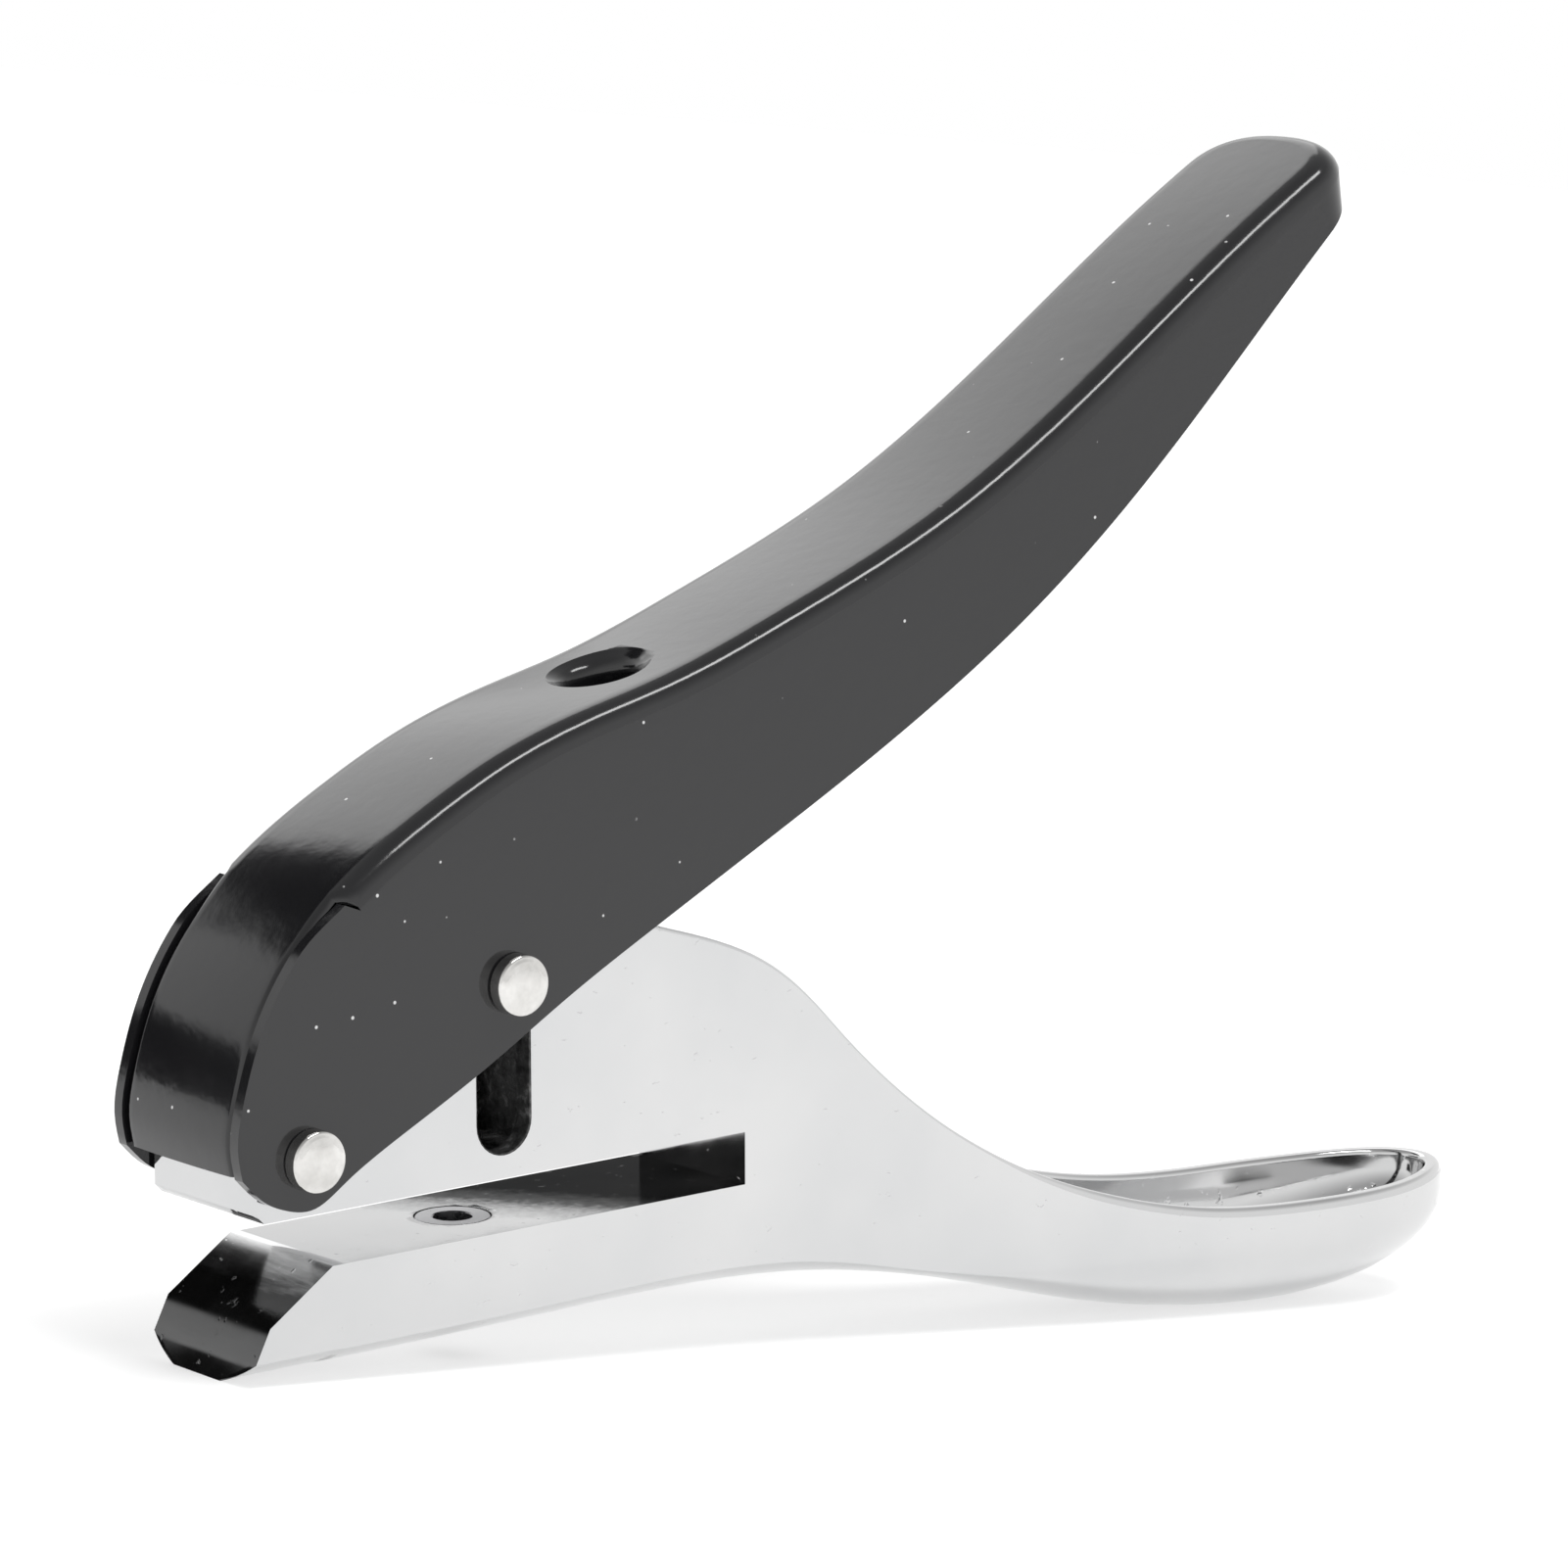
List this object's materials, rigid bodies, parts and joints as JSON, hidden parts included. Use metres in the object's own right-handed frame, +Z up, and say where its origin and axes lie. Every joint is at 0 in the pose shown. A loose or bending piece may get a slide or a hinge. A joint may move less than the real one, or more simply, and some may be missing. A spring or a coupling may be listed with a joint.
{
  "type": "single-hole punch plier",
  "caption": "Hand-held single-hole punch plier: chromed cast frame with a paper throat and spoon handle, black sheet lever, riveted sliding punch and die bush.",
  "frame": {"origin": "centre of the die hole on the anvil face of the lower jaw", "axes": "+X back along the tool to the handles, +Y across the jaws to the far side, +Z up along the punch"},
  "size_m": [0.1274, 0.019, 0.0963],
  "materials": {
    "chrome_casting": "bright chrome plate over a zinc casting",
    "black_coat": "glossy black powder coat on pressed steel",
    "rivet_steel": "nickel-plated steel rivets",
    "tool_steel": "ground hardened steel",
    "holder_zinc": "dull cast metal",
    "spring_steel": "bright spring wire"
  },
  "bodies": {
    "frame": {"frame": "chrome_casting", "die_bush": "tool_steel", "return_spring": "spring_steel", "spring_washer": "tool_steel"},
    "punch_carriage": {"punch_holder": "holder_zinc", "punch": "tool_steel", "drive_rivet": "rivet_steel"},
    "lever": {"lever": "black_coat", "front_rivet": "rivet_steel"}
  },
  "joints": [
    {"name": "punch_slide", "type": "slide", "parent": "frame", "child": "punch_carriage", "axis": [0, 0, -1], "range_m": [0, 0.0066], "deforming": ["return_spring"]},
    {"name": "lever_hinge", "type": "hinge", "parent": "punch_carriage", "child": "lever", "pos_m": [0, 0, 0.0191], "axis": [0, 1, 0], "range_deg": [0, 19], "stiffness_Nm_per_rad": 0.475, "springref_deg": -14.32}
  ],
  "couplings": [
    {"joint": "punch_slide", "follows": "lever_hinge", "m_per_rad": 0.0199}
  ]
}
